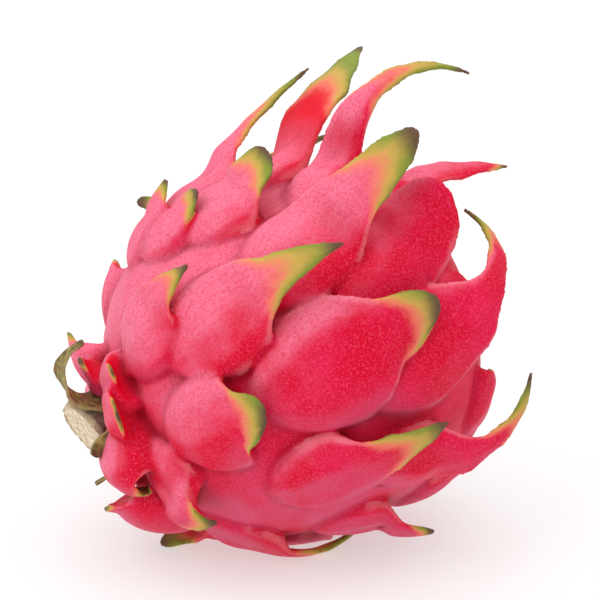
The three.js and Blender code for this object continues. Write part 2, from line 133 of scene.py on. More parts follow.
# %% One row for each scale
FIELDS = "along around lean lift curl sweep twist length root waist blunt rise green".split()
SCALES = {
    # name        along around lean lift curl sweep twist length root waist blunt rise green
    "stem_1":     (25,  50,   0,  8, -15,   0,   0,  5, 15,  6, 0.8, 6, 0.75),
    "stem_2":     (24,  72,   0,  5, -20,   0,   0,  5, 15, 11, 0.9, 8, 0.75),
    "stem_3":     (20, 112,  68,  0, -100,  0,   0, 14, 16, 12, 0.3, 10, 0.6),
    "stem_4":     (25, 162, 180, 35,  20,   0,   0,  4, 22,  9, 0.3, 10, 0.6),
    "stem_5":     (23, 215,   5, 18, -10,   0,   0,  8, 17,  8, 0.4, 8, 0.6),
    "stem_6":     (22, 262,  -8, 12, -20,   0,   0,  7, 16,  7, 0.6, 7, 0.5),
    "stem_7":     (19, 325,   4, 14, -12,   0,   0,  6, 15,  6, 0.8, 7, 0.5),
    "stem_8":     (14,  18,   0, 20, -10,   0,   0,  6, 13,  8, 0.6, 6, 0.75),
    "shoulder_1": (45,  39, -16, 14, -42,  14,   5, 16, 21,  7, 0.2, 4, 0.55),
    "shoulder_2": (55,  85,  -9, 15, -24,  33,  -4, 11, 24, 13, 0.9, 4, 0.45),
    "shoulder_3": (33, 117,  32, 29, -89, -35,   8, 17, 17, 11, 0.1, 4, 0.6),
    "shoulder_4": (38, 124,  20, 10, -30,   0,   0,  8, 18,  9, 0.4, 5, 0.9),
    "shoulder_5": (57, 156,  12,  7, -73,  -8,   0, 34, 20,  5, 0.2, 3, 0.5),
    "shoulder_6": (50, 178, 172, 28,   5,   0,  20, 12, 14,  9, 0.6, 3, 0.4),
    "shoulder_7": (48, 240,   6, 16, -20,   0,   4, 18, 20,  9, 0.3, 4, 0.55),
    "shoulder_8": (45, 282,  -4, 16, -20,  10,   0, 12, 20,  9, 0.3, 4, 0.5),
    "shoulder_9": (46, 318,  15, 16,   0,   0,   8,  4, 18,  8, 0.3, 3, 0.6),
    "side_1":     (60, 352, -12, 21,  -4,   0,  -8, 10, 16,  8, 0.2, 4, 0.5),
    "side_2":     (64,   8,  17, 15,   0,   0, -10,  9, 15, 11, 0.6, 4, 0.5),
    "side_3":     (65,  53, -10, 20,  -8,  24,   3, 32, 25,  9, 0.1, 4, 0.4),
    "side_4":     (82, 110, -18, 10, -33,  11,  -4, 28, 21, 10, 0.2, 4, 0.5),
    "side_5":     (81, 184,   4,  5, -12,   0,   0, 14, 32, 10, 0.4, 5, 0.7),
    "side_6":     (70, 222, -12, 16, -18,  10,   0, 22, 24, 10, 0.3, 4, 0.5),
    "side_7":     (72, 262,   8, 18, -30, -14,   6, 28, 24, 10, 0.2, 4, 0.5),
    "side_8":     (65, 307,  -4, 30,  90, -20,   0, 21, 16,  9, 0.6, 3, 0.55),
    "side_9":     (76, 349, -14, 21, -10,  16, -14, 41, 20,  5, 0.3, 4, 0.5),
    "side_10":    (81,  12,   0, 27,   4,  -4, -12, 13, 22, 15, 0.8, 4, 0.45),
    "belt_1":     (95,  41, -20, 26,  19,  15,  10, 33, 25, 13, 0.8, 4, 0.55),
    "belt_2":     (93,  76, -13, 13, -50,   9, -29, 25, 31, 15, 0.8, 5, 0.6),
    "belt_3":     (108, 116, 11, 21, -75, -49,  22, 37, 17,  5, 0.4, 4, 0.6),
    "belt_4":     (95, 146,   2, 37, -27, -13,  14, 14, 19,  7, 0.4, 3, 0.7),
    "belt_5":     (98, 208,  10, 14, -30,  12,   0, 22, 22,  9, 0.3, 3, 0.6),
    "belt_6":     (96, 243,  -8, 16, -36,   8,  -6, 30, 24,  8, 0.2, 4, 0.5),
    "belt_7":     (92, 284,   6, 20, -24, -10,   8, 26, 24, 11, 0.4, 4, 0.5),
    "belt_8":     (90, 320, -10, 24, -30,  10,   0, 34, 22,  8, 0.2, 4, 0.5),
    "belt_9":     (99, 357, -21, 36, -27, -23,   0, 44, 14, 17, 0.1, 4, 0.5),
    "crown_1":    (109, 16, -37, 56, -90,  44, -22, 50, 14,  5, 0.3, 4, 0.5),
    "crown_2":    (117, 51, -35, 22,  40, -55,   0, 17, 25, 20, 0.6, 4, 0.98),
    "crown_3":    (118, 81, -16, 14, -100, -37, 33, 50, 28,  6, 0.4, 4, 0.7),
    "crown_4":    (122, 156, -5, 14, -55,  10,   0, 13, 18,  8, 0.3, 3, 0.6),
    "crown_5":    (120, 188,  8, 16, -40,  -8,   0, 20, 20,  8, 0.3, 4, 0.55),
    "crown_6":    (118, 226, -10, 18, -50, 12,   6, 24, 22,  7, 0.2, 4, 0.5),
    "crown_7":    (116, 265, 10, 22, -60, -10,   0, 30, 22,  7, 0.2, 4, 0.5),
    "crown_8":    (114, 304, -6, 26, -48,  14, -10, 34, 20,  7, 0.2, 4, 0.5),
    "crown_9":    (130, 13,  -4, 29, -19,  -9,  -8, 33, 12,  8, 0.1, 3, 0.85),
    "navel_1":    (141, 340,  6, 18, -40,   0,   0, 14, 20,  9, 0.3, 3, 0.5),
    "navel_2":    (143, 30,  -8, 10, -40,  10,   0, 10, 19,  8, 0.3, 3, 0.6),
    "navel_3":    (141, 76,   8,  8, -50,   0,   6,  8, 20,  9, 0.3, 3, 0.7),
    "navel_4":    (146, 128, -6,  6, -55,   0,   0,  6, 18,  8, 0.3, 3, 0.6),
    "navel_5":    (142, 166,  4, 12, -45,   8,   0, 10, 19,  8, 0.3, 3, 0.5),
    "navel_6":    (143, 208,  0, 14, -45,   0,  -6, 12, 19,  8, 0.3, 3, 0.5),
    "navel_7":    (141, 250, -8, 16, -45,   6,   0, 13, 20,  9, 0.3, 3, 0.5),
    "navel_8":    (144, 294,  8, 18, -45,   0,   0, 14, 19,  8, 0.3, 3, 0.5),
}
print(len(SCALES), "scales on the skin")

# %% [markdown]
# ## A scale's shape
# The middle line of the blade is walked step by step, turning a little at each, and a bent strip
# is laid across it. Up to the root the strip lies on the skin and is swollen into the cushion; the
# two are faded into each other, so the cushion runs out into the blade without a seam. Underneath,
# the same strip is sunk into the fruit, and along the blade it is the blade's thickness below.

# %% The middle line of a blade
BEND_POWER = 1.4            # a blade bends more towards its tip
TIP_WIDTH = 0.5
CAMBER = 0.18               # how far a blade's margins bend down, as a share of its half width
SLOPE_STEP = 0.05           # mm each way, to measure which way the skin faces
MERIDIAN_STEP = 0.5         # degrees, to measure which way the flower pole lies


def smooth(x, low=0.0, high=1.0):
    x = np.clip((x - low) / (high - low), 0, 1)
    return x * x * (3 - 2 * x)


def root_frame(row):
    """The scale's root, the outward direction there, and the ones ahead of it and across it."""
    root = skin_at(row["along"], row["around"])
    rises = [reach(root + axis * SLOPE_STEP) - reach(root - axis * SLOPE_STEP) for axis in np.eye(3)]
    out = unit(np.array(rises))
    meridian = skin_at(row["along"] + MERIDIAN_STEP, row["around"]) - root
    meridian = unit(meridian - meridian @ out * out)
    parallel = np.cross(meridian, out)
    lean = math.radians(row["lean"])
    ahead = math.cos(lean) * meridian + math.sin(lean) * parallel
    across = math.cos(lean) * parallel - math.sin(lean) * meridian
    return root, out, ahead, across


def blade_line(row, steps):
    """Places along the blade: t, the middle line, the sideways direction and the upper face's."""
    root, out, ahead, across = root_frame(row)
    t = np.linspace(0, 1, steps + 1)
    pitch = np.radians(row["lift"] + row["curl"] * t ** BEND_POWER)[:, None]
    yaw = np.radians(row["sweep"] * t ** BEND_POWER)[:, None]
    forward = np.cos(yaw) * (np.cos(pitch) * ahead + np.sin(pitch) * out) + np.sin(yaw) * across
    stride = (forward[1:] + forward[:-1]) / 2 * row["length"] / steps
    start = root + out * row["rise"]
    middle = start + np.concatenate([np.zeros((1, 3)), np.cumsum(stride, 0)])
    side = unit(across - (forward @ across)[:, None] * forward)
    face = np.cross(side, forward)
    twist = np.radians(row["twist"] * t)[:, None]
    side, face = side * np.cos(twist) + face * np.sin(twist), face * np.cos(twist) - side * np.sin(twist)
    return t, middle, side, face


def half_width(row, t):
    """Half the blade's width: it narrows from root to waist, then runs out pointed or round."""
    towards_tip = np.clip((t - 0.5) / 0.5, 0, 1)
    pointed = 1 - towards_tip
    rounded = np.sqrt(np.maximum(0, 1 - towards_tip ** 2))
    narrowing = row["root"] + (row["waist"] - row["root"]) * smooth(t, 0, 0.5)
    ending = row["waist"] * (pointed + (rounded - pointed) * row["blunt"])
    return (np.where(t < 0.5, narrowing, ending) + TIP_WIDTH) / 2


# %% [markdown]
# ## A scale's two faces
# A scale is drawn as two grids of points, one for each face. Their rows run across the scale, from
# the far end of its cushion to its tip, and `t` numbers them: -1 to 0 over the cushion and 0 to 1
# along the blade. `side` runs from -1 to 1 across. A welt and soft pleats keep it from looking blown.

# %% A scale's upper and lower face
CUSHION_LENGTH = 0.75       # as a share of the root's width
CUSHION_OUTLINE = {"blunt": 2.2, "round": 0.7, "spread": 0.5}
CUSHION_FALL = 1.6          # the power by which its height falls off backwards
SIDE_FALL = 3.4             # and sideways
MARGIN_SINK = 0.8           # how far the cushion's margins dip into the skin
MARGIN_RIDGE = 0.6          # the height of a welt just inside each margin
RIDGE_AT, RIDGE_WIDTH = 0.84, 0.08          # its place and width, as shares of the half width
PLEAT_DEPTH = 0.32          # of the lengthwise folds over a scale, which are strongest on its cushion
FREE_BY = 0.3               # the share of a blade's length that it takes to leave the skin
UNDERSIDE = 0.94            # the width of a scale's underside, as a share of its upper face
ROOT_DEPTH = 5.0
ROOT_THICKNESS, TIP_THICKNESS = 2.3, 1.1
EDGE_THINNING = 0.35        # how much thinner a blade is at its margins
RUFFLE_DEPTH, RUFFLE_LENGTH = 0.35, 1.6     # the margins of a blade wave a little, in mm
ROW_STEP, COLUMNS = 0.6, 29                 # the grid's rows are this far apart; points in a row


def cushion_height(height, side, pleats=0.0):
    edge = np.abs(side) ** SIDE_FALL
    ridge = MARGIN_RIDGE * np.exp(-((np.abs(side) - RIDGE_AT) / RIDGE_WIDTH) ** 2)
    return height * (1 - edge) - MARGIN_SINK * edge + ridge + pleats * (1 - edge)


def on_cushion(row_frame, ahead_by, side_by, height):
    root, out, ahead, across = row_frame
    point = on_skin(root + ahead_by * ahead + side_by[:, None] * across)
    return point * (1 + height / np.linalg.norm(point, axis=-1))[:, None]


def scale_faces(row, cushioned=True, thickness=(ROOT_THICKNESS, TIP_THICKNESS)):
    """Grids of points for the upper and lower face, and t and side for each of them."""
    row_frame = root_frame(row)
    side = np.linspace(-1, 1, COLUMNS)
    steps = max(6, round(row["length"] / ROW_STEP))
    upper, lower, ts = [], [], []
    dice = np.random.default_rng(round(row["along"] * 7 + row["around"]))
    pleat_count, pleat_shift = dice.uniform(1.0, 1.8), dice.uniform(0, 6.3)
    pleats = PLEAT_DEPTH * np.sin(math.pi * pleat_count * side * 1.6 + pleat_shift) if cushioned else 0 * side
    ruffle_shift = dice.uniform(0, 6.3, 2)
    cushion_length = CUSHION_LENGTH * row["root"]
    cushion_rows = max(4, round(cushion_length / ROW_STEP)) if cushioned else 0
    shape = CUSHION_OUTLINE
    for back in np.linspace(-1, 0, cushion_rows, endpoint=False):
        half = row["root"] / 2 * (1 - (-back) ** shape["blunt"]) ** shape["round"] + shape["spread"]
        height = row["rise"] * (1 - (-back) ** CUSHION_FALL)
        lengthwise = back * cushion_length
        folded = cushion_height(height, side, pleats * (1 - back * back))
        upper.append(on_cushion(row_frame, lengthwise, side * half, folded))
        lower.append(on_cushion(row_frame, lengthwise, side * half * UNDERSIDE, -ROOT_DEPTH + 0 * side))
        ts.append(back)
    for t, middle, sideways, face in zip(*blade_line(row, steps)):
        half = half_width(row, t)
        thick = thickness[0] + (thickness[1] - thickness[0]) * t
        free = smooth(t, 0, FREE_BY) if cushioned else 1.0
        ruffle = np.sin(t * row["length"] / RUFFLE_LENGTH + np.where(side > 0, *ruffle_shift))
        bow = CAMBER * half * side ** 2 + RUFFLE_DEPTH * ruffle * np.abs(side) ** 3
        bow = bow - 0.5 * pleats * (1 - t)
        thin = thick * (1 - EDGE_THINNING * side ** 2)
        ahead_by = t * row["length"]
        seat = on_cushion(row_frame, ahead_by, side * half, cushion_height(row["rise"], side, pleats))
        sunk = on_cushion(row_frame, ahead_by, side * half * UNDERSIDE, -ROOT_DEPTH + 0 * side)
        top = middle + (side * half)[:, None] * sideways - bow[:, None] * face
        bottom = middle + (side * half * UNDERSIDE)[:, None] * sideways - (bow + thin)[:, None] * face
        upper.append(seat * (1 - free) + top * free)
        lower.append(sunk * (1 - free) + bottom * free)
        ts.append(t)
    grid_t, grid_side = np.meshgrid(ts, side, indexing="ij")
    return np.array(upper), np.array(lower), grid_t, grid_side


rows = {name: dict(zip(FIELDS, values)) for name, values in SCALES.items()}
longest = max(rows, key=lambda name: rows[name]["length"])
print("longest blade:", longest, rows[longest]["length"], "mm")

# %% [markdown]
# ## From grids to one skin
# Every scale and the bare fruit are closed shells that run through each other. A voxel remesh
# melts them into one skin, the way the scales grow out of it on the plant. Smoothing is strong
# where a scale joins the fruit and weak along a blade, so that the joins flow and the blades stay thin.


def shell(upper, lower):
    """Two grids, one above the other, joined all round: points and faces."""
    count, columns = upper.shape[:2]
    top = np.arange(count * columns).reshape(count, columns)
    below = top + count * columns

    def strip(a, b):
        return np.stack([a[:-1], a[1:], b[1:], b[:-1]], -1).reshape(-1, 4)

    faces = [strip(top[:, i], top[:, i + 1]) for i in range(columns - 1)]
    faces += [strip(below[:, i + 1], below[:, i]) for i in range(columns - 1)]
    faces += [strip(below[:, 0], top[:, 0]), strip(top[:, -1], below[:, -1])]
    faces += [strip(top[0], below[0]), strip(below[-1], top[-1])]
    return np.concatenate([upper.reshape(-1, 3), lower.reshape(-1, 3)]), np.concatenate(faces).tolist()


def round_body(rings):
    """Rings of points, of which the first and the last shrink to one point: points and faces."""
    middle = rings[1:-1]
    around = 1 + np.arange(middle.shape[0] * middle.shape[1]).reshape(middle.shape[:2])
    following = np.roll(around, -1, axis=1)
    quads = np.stack([around[:-1], following[:-1], following[1:], around[1:]], -1).reshape(-1, 4)
    last = around.size + 1
    caps = [[0, b, a] for a, b in zip(around[0], following[0])]
    caps += [[last, a, b] for a, b in zip(around[-1], following[-1])]
    points = np.concatenate([rings[0, :1], middle.reshape(-1, 3), rings[-1, :1]])
    return points, quads.tolist() + caps


def together(parts):
    """Several points-and-faces pairs as one."""
    points, faces, start = [], [], 0
    for some_points, some_faces in parts:
        points.append(some_points)
        faces += [[start + index for index in face] for face in some_faces]
        start += len(some_points)
    return np.concatenate(points), faces


def mesh_piece(name, points, faces):
    mesh = bpy.data.meshes.new(name)
    mesh.from_pydata(points.tolist(), [], faces)
    mesh.validate()
    piece = bpy.data.objects.new(name, mesh)
    bpy.context.collection.objects.link(piece)
    bpy.context.view_layer.update()
    return piece


SAME_POINT = 1e-4           # points closer than this are welded into one


def face_outwards(piece):
    """Welds the points that coincide, and turns every face's front outwards."""
    made = bmesh.new()
    made.from_mesh(piece.data)
    bmesh.ops.remove_doubles(made, verts=made.verts, dist=SAME_POINT)
    bmesh.ops.recalc_face_normals(made, faces=made.faces)
    made.to_mesh(piece.data)
    made.free()


def settle(piece):
    """Turns a piece's modifiers into mesh."""
    graph = bpy.context.evaluated_depsgraph_get()
    shaped = bpy.data.meshes.new_from_object(piece.evaluated_get(graph))
    old = piece.data
    piece.modifiers.clear()
    piece.data = shaped
    bpy.data.meshes.remove(old)


def places(piece):
    found = np.empty(len(piece.data.vertices) * 3)
    piece.data.vertices.foreach_get("co", found)
    return found.reshape(-1, 3)


def put(piece, points):
    piece.data.vertices.foreach_set("co", points.ravel())
    piece.data.update()


# %% The bare fruit and all its scales, as one skin
VOXEL = 0.6               # in mm
WAVES = 7                                   # how many plane waves one wavering is made of


def wave(points, size, seed):
    """A smooth wavering between about -1 and 1 over points, in swells of this size in mm."""
    dice = np.random.default_rng(seed)
    total = 0
    for _ in range(WAVES):
        direction = unit(dice.normal(size=3)) * 2 * math.pi / (size * dice.uniform(0.7, 1.5))
        total = total + np.sin(points @ direction + dice.uniform(0, 2 * math.pi))
    return total / (WAVES / 2)


BODY_RINGS = {"along": 150, "around": 200}
BETWEEN_SCALES = 0.982      # the skin shows a little lower in the valleys than a scale's margin
along, around = np.meshgrid(
    np.linspace(0, 180, BODY_RINGS["along"]),
    np.linspace(0, 360, BODY_RINGS["around"], endpoint=False),
    indexing="ij",
)
body_points, body_faces = round_body(skin_at(along, around) * BETWEEN_SCALES)
faces_of_scales = {name: scale_faces(row) for name, row in rows.items()}
shells = [shell(upper, lower) for upper, lower, _, _ in faces_of_scales.values()]
fruit = mesh_piece("fruit_skin", *together([(body_points, body_faces)] + shells))
modifier = fruit.modifiers.new("melt", "REMESH")
modifier.mode = "VOXEL"
modifier.voxel_size = VOXEL
settle(fruit)
print("skin after the remesh:", len(fruit.data.vertices), "vertices")

# %% [markdown]
# ## Where the dry pieces sit
# The stem stub stands among the cushions at one end, and the flower scar in a dip at the other.
# Each dry piece needs its own seat in the skin, a little larger than itself, so that dead tissue
# and living skin never share a surface. The seats are cut before the smoothing rounds them.

# %% Shapes turned about an axis
GAP = 0.3                   # mm between a dry piece and its seat
STUB = {
    "collar": 9.0, "neck": 7.6, "length": 13.0, "root": 3.0, "inset": 3.0,     # in mm
    "lift": -4, "turn": 18, "cut": 12,      # degrees: upwards, towards -Y, and the cut's slant
}
FINE = 0.9                  # mm between the points of a turned shape


def turned(profile, fine=FINE):
    """A shape turned about +X from (radius, place along the axis), as rings of points."""
    profile = np.array(profile, float)
    steps = np.linalg.norm(np.diff(profile, axis=0), axis=1)
    run = np.concatenate([[0], np.cumsum(steps)])
    stations = np.linspace(0, run[-1], max(8, round(run[-1] / fine)))
    radius = np.interp(stations, run, profile[:, 0])
    place = np.interp(stations, run, profile[:, 1])
    count = max(16, round(2 * math.pi * profile[:, 0].max() / fine))
    angle = np.linspace(0, 2 * math.pi, count, endpoint=False)
    return np.stack([
        np.repeat(place[:, None], count, 1),
        radius[:, None] * np.cos(angle),
        radius[:, None] * np.sin(angle),
    ], -1)


def stub_profile(extra=0.0):
    collar, neck, length, root = (STUB[key] for key in ("collar", "neck", "length", "root"))
    return [
        (0, -root - extra), (collar * 0.8 + extra, -root - extra), (collar + extra, -root * 0.3),
        (collar * 0.94 + extra, 1.4), (neck + extra, 3.6), (neck * 1.02 + extra, 6),
        (neck * 1.12 + extra, length - 1.5), (neck + extra, length + 3), (0, length + 3),
    ]


def scar_profile(extra=0.0):
    radius, thickness = SCAR["radius"], SCAR["thickness"]
    return [
        (0, -extra), (radius * 0.8 + extra, -extra), (radius + extra, thickness * 0.45),
        (radius * 0.9 + extra, thickness * 0.9), (radius * 0.6, thickness),
        (radius * 0.45, thickness * 0.6), (0, thickness * 0.5),
    ]


stub_lift = math.pi + math.radians(STUB["lift"])
stub_side = -math.radians(STUB["turn"])
STUB_AXES = np.array([
    [math.cos(stub_lift), 0, math.sin(stub_lift)],
    [0, 1, 0],
    [-math.sin(stub_lift), 0, math.cos(stub_lift)],
]) @ np.array([
    [math.cos(stub_side), -math.sin(stub_side), 0],
    [math.sin(stub_side), math.cos(stub_side), 0],
    [0, 0, 1],
])
stub_root = vec(-HALF_LENGTH + STUB["inset"], 0, 0)


def at_stub(points):
    return points @ STUB_AXES.T + stub_root


# %% The cutters
def flower_ball():
    """The ball that hollows a round bowl out of the flower end."""
    radius = (FLOWER_DIP["radius"] ** 2 + FLOWER_DIP["depth"] ** 2) / (2 * FLOWER_DIP["depth"])
    turn = np.linspace(0, math.pi, 40)
    rings = turned(np.stack([radius * np.sin(turn), -radius * np.cos(turn)], -1))
    return rings + vec(skin_at(180 - DIP_RIM, 0)[0] + radius - FLOWER_DIP["depth"], 0, 0)


DRY_SCALES = {
    # name               along around lean lift curl sweep twist length root waist blunt rise green
    "stem_scale_upper": (12,  47, 148, 90, 170,   0,   0, 26, 8, 7, 0.3, 0, 1),
    "stem_scale_side":  (17,  97, 180, 88,   4,  -6,   0, 11, 8, 6, 0.6, 0, 1),
    "stem_scale_lower": (17, 160, 175, 84,   5,  10,  10, 11, 6, 5, 0.4, 0, 1),
}
DRY_THICKNESS = (1.2, 0.8)  # at the root and at the tip
dry_rows = {name: dict(zip(FIELDS, values)) for name, values in DRY_SCALES.items()}


def grown(upper, lower, extra):
    """Two faces moved apart, and their margins outwards, to cut a seat larger than the scale."""
    across = unit(upper[:, -1] - upper[:, 0])[:, None]
    share = np.linspace(-1, 1, upper.shape[1])[None, :, None]
    away = unit(upper - lower)
    return upper + extra * (away + across * share), lower + extra * (across * share - away)


cutters = {
    "flower_dip": round_body(flower_ball()),
    "stub_seat": round_body(at_stub(turned(stub_profile(GAP)))),
    "scar_seat": round_body(turned(scar_profile(GAP)) + vec(scar_x, 0, 0)),
}
dry_faces = {name: scale_faces(row, cushioned=False, thickness=DRY_THICKNESS)
             for name, row in dry_rows.items()}
for name, (upper, lower, _, _) in dry_faces.items():
    cutters[name + "_seat"] = shell(*grown(upper, lower, GAP))


def cut_away(piece, cutter_names):
    for cutter_name in cutter_names:
        cutter = mesh_piece(cutter_name, *cutters[cutter_name])
        face_outwards(cutter)
        modifier = piece.modifiers.new("cut", "BOOLEAN")
        modifier.operation = "DIFFERENCE"
        modifier.solver = "MANIFOLD"
        modifier.object = cutter
        settle(piece)
        bpy.data.objects.remove(cutter)


cut_away(fruit, list(cutters))
print("skin after the cuts:", len(fruit.data.vertices), "vertices")

# %% [markdown]
# ## Knowing which part of a scale each point is
# The colours follow the scales: pink at the foot, green towards the tip, a thin pale margin. So
# every point of the skin takes a few numbers from the nearest point of the grids it was melted
# from. They are stored as attributes, and the material reads them.

# %% Numbers for every point of the grids
FAR_FROM_TIP = 30.0
LONG_BLADE = 24.0           # a shorter blade dries back in proportion
SHOWS_INNER_FACE = {"belt_9"}               # its blade is turned over: the red face is outermost


def grid_numbers(name):
    """For each grid point of a scale: the numbers named below, and the point itself."""
    upper, lower, t, side = faces_of_scales[name]
    row = rows[name]
    blade = np.clip(t, 0, 1)
    ripe = (t - row["green"]) / (1.02 - row["green"])
    to_tip = np.clip((1 - t) * max(row["length"], LONG_BLADE), 0, FAR_FROM_TIP)
    edge = np.abs(side) * smooth(t, -0.9, -0.2) * min(1, 0.6 + row["length"] / 30)
    across = side * row["root"] / 2
    down = np.where(t < 0, t * CUSHION_LENGTH * row["root"], t * row["length"])
    which = 0 * t + row["around"] + row["along"]
    top = np.stack([blade, edge, 0 * t, ripe, to_tip, across, down, which], -1).reshape(-1, 8)
    beneath = top.copy()
    beneath[:, 2] = smooth(t, 0.05, FREE_BY + 0.05).ravel()
    if name in SHOWS_INNER_FACE:
        top[:, 2] = beneath[:, 2]
    return np.concatenate([upper.reshape(-1, 3), lower.reshape(-1, 3)]), np.concatenate([top, beneath])


NUMBERS = ["blade", "edge", "inside", "ripe", "to_tip", "across", "down", "which"]
known_points, known_numbers = zip(*(grid_numbers(name) for name in rows))
bare_numbers = np.tile(vec(0, 0, 0, -1, FAR_FROM_TIP, 0, 0, 0), (len(body_points), 1))
known_points = np.concatenate((body_points,) + known_points)
known_numbers = np.concatenate((bare_numbers,) + known_numbers)


# %% Nearest points and neighbouring points
def nearest(points, targets):
    tree = KDTree(len(targets))
    for index, target in enumerate(targets.tolist()):
        tree.insert(target, index)
    tree.balance()
    return np.array([tree.find(point)[1] for point in points.tolist()])


def joined_edges(piece):
    edges = np.empty(len(piece.data.edges) * 2, int)
    piece.data.edges.foreach_get("vertices", edges)
    return edges.reshape(-1, 2).T


class Neighbours:
    """Averages values over the points that share an edge."""

    def __init__(self, piece):
        self.a, self.b = joined_edges(piece)
        self.count = len(piece.data.vertices)
        self.share = sum(np.bincount(ends, minlength=self.count) for ends in (self.a, self.b))

    def average(self, values):
        columns = values.reshape(self.count, -1)
        sums = [
            np.bincount(self.a, column[self.b], self.count) + np.bincount(self.b, column[self.a], self.count)
            for column in columns.T
        ]
        return (np.stack(sums, -1) / self.share[:, None]).reshape(values.shape)

    def smoothed(self, values, rounds, amount=0.5):
        for _ in range(rounds):
            values = values + amount * (self.average(values) - values)
        return values


BLEND_ROUNDS = 6
points = places(fruit)
numbers = known_numbers[nearest(points, known_points)]
near = Neighbours(fruit)
blade_here = near.smoothed(numbers[:, 0], BLEND_ROUNDS)
print("points on blades:", int((blade_here > 0.1).sum()))

# %% [markdown]
# ## Smoothing
# On the plant a scale runs into the skin without an edge, and the skin itself is never quite even.
# Averaging each point with its neighbours rounds the joins. The number of rounds follows from the
# distance it should reach, so a coarser mesh gets fewer. Slow swells then dent the skin a little.

# %% Smooth the joins, and only a little along the blades
JOIN_REACH, BLADE_REACH = 0.85, 0.7         # in mm
SWELLS = ({"depth": 0.35, "size": 26, "seed": 3}, {"depth": 0.16, "size": 11, "seed": 4})


def rounds_for(reach_mm):
    return round(2 * (reach_mm / VOXEL) ** 2)


softness = (0.5 * (1 - smooth(blade_here, 0.08, 0.4)))[:, None]
for _ in range(rounds_for(JOIN_REACH)):
    points = points + softness * (near.average(points) - points)
for _ in range(rounds_for(BLADE_REACH)):
    points = points + 0.5 * (near.average(points) - points)
swell = sum(each["depth"] * wave(points, each["size"], each["seed"]) for each in SWELLS)
points = points + unit(points) * (swell * (1 - smooth(blade_here, 0.1, 0.5)))[:, None]
put(fruit, points)

# %% [markdown]
# ## Resting on the table
# A ripe fruit is soft enough to flatten where it lies, so every point that would be below the table
# is lifted onto it. The mesh is then thinned, which takes triangles away first where it is flat.

# %% Flatten the underside, and thin the mesh
MOST_TRIANGLES = 190_000


def count_triangles(piece):
    return sum(len(face.vertices) - 2 for face in piece.data.polygons)


laid = to_row(points)
laid[:, 2] = np.maximum(laid[:, 2], 0)
put(fruit, laid)
triangles = count_triangles(fruit)
if triangles > MOST_TRIANGLES:
    modifier = fruit.modifiers.new("thin", "DECIMATE")
    modifier.ratio = MOST_TRIANGLES / triangles
    settle(fruit)
print("triangles:", triangles, "then", count_triangles(fruit))

# %% [markdown]
# ## What the colour depends on
# Besides its place on a scale, a point's colour depends on its surroundings: skin in a fold gets
# painted shade, a ridge is paler, the side facing the soft box gets painted light over its waxy
# bloom, and the side facing down gets a dull painted reflection of the lit table. These are
# measured on the finished mesh, so they always fit its shape, and stored with the other numbers.

# %% Store the numbers on the finished skin
BEND_ROUNDS = 60            # more rounds of averaging find wider folds
SOFTEN_ROUNDS = 3
FACING_ROUNDS = 12
HOLLOW_DEPTHS = (0.08, 0.95)                # mm below the surroundings: a trace, and a full fold
RIDGE_HEIGHTS = (0.1, 1.2)
SUNNY = unit(vec(-0.75, 0, 0.65))


def set_number(piece, name, values):
    attribute = piece.data.attributes.new(name, "FLOAT", "POINT")
    attribute.data.foreach_set("value", np.asarray(values, np.float32))


def shade_smooth(piece):
    piece.data.polygons.foreach_set("use_smooth", [True] * len(piece.data.polygons))
    piece.data.update()


def bends(piece, rounds):
    """How far each point stands out from its surroundings in mm: below 0 in a hollow."""
    here = places(piece) / MM
    around_it = Neighbours(piece).smoothed(here, rounds)
    normals = np.empty(len(here) * 3)
    piece.data.vertices.foreach_get("normal", normals)
    return ((here - around_it) * normals.reshape(-1, 3)).sum(-1)


finished = (places(fruit) / MM - centre) @ LAY_DOWN
numbers = known_numbers[nearest(finished, known_points)]
near = Neighbours(fruit)
numbers = near.smoothed(numbers, SOFTEN_ROUNDS)
for name, values in zip(NUMBERS, numbers.T):
    set_number(fruit, name, values)
bend = near.smoothed(bends(fruit, BEND_ROUNDS), SOFTEN_ROUNDS)
# Painted shade: the folds found here are darkened to crimson in the finish.
set_number(fruit, "hollow", smooth(-bend, *HOLLOW_DEPTHS))
set_number(fruit, "ridge", smooth(bend, *RIDGE_HEIGHTS))
normals = np.empty(len(finished) * 3)
fruit.data.vertices.foreach_get("normal", normals)
facing = near.smoothed(normals.reshape(-1, 3), FACING_ROUNDS)
# Painted light: points that face the soft box are made paler, on top of the skin's waxy bloom.
set_number(fruit, "bloom_and_lit_side", smooth(facing @ SUNNY, 0.0, 1.0))
# Painted reflection: points facing down are later mixed towards a dull pink, as the lit table would show in
# them.
set_number(fruit, "shaded", smooth(-facing[:, 2], 0.1, 0.75))
shade_smooth(fruit)
print("bend from", bend.min().round(2), "to", bend.max().round(2), "mm")

# %% [markdown]
# ## Writing a finish
# A finish is a network of nodes that works out a colour for every point. Here its arithmetic is
# written as ordinary expressions: a Value wraps one output, and adding or multiplying Values adds
# the Math nodes. Everything else comes from one method that makes a node and fills its inputs.

# %% Values
class Value:
    """One output in a finish. Arithmetic on it adds Math nodes."""

    def __init__(self, finish, output):
        self.finish = finish
        self.output = output

    def maths(self, operation, first, second=0.0):
        return self.finish.node("ShaderNodeMath", {"operation": operation}, {0: first, 1: second})

    def __add__(self, other):
        return self.maths("ADD", self, other)

    def __sub__(self, other):
        return self.maths("SUBTRACT", self, other)

    def __rsub__(self, other):
        return self.maths("SUBTRACT", other, self)

    def __mul__(self, other):
        return self.maths("MULTIPLY", self, other)

    __radd__ = __add__
    __rmul__ = __mul__

    def power(self, exponent):
        return self.maths("POWER", self, exponent)

    def ramp(self, low, high):
        """0 below low, 1 above high, and a smooth run between them."""
        return self.finish.node(
            "ShaderNodeMapRange",
            {"interpolation_type": "SMOOTHSTEP"},
            {"Value": self, "From Min": low, "From Max": high},
        )


# %% Finishes
def colour(red, green, blue):
    """A colour as it looks on a screen, from 0 to 255, as the light values a shader wants."""
    share = vec(red, green, blue) / 255
    light = np.where(share <= 0.04045, share / 12.92, ((share + 0.055) / 1.055) ** 2.4)
    return (*light.tolist(), 1.0)


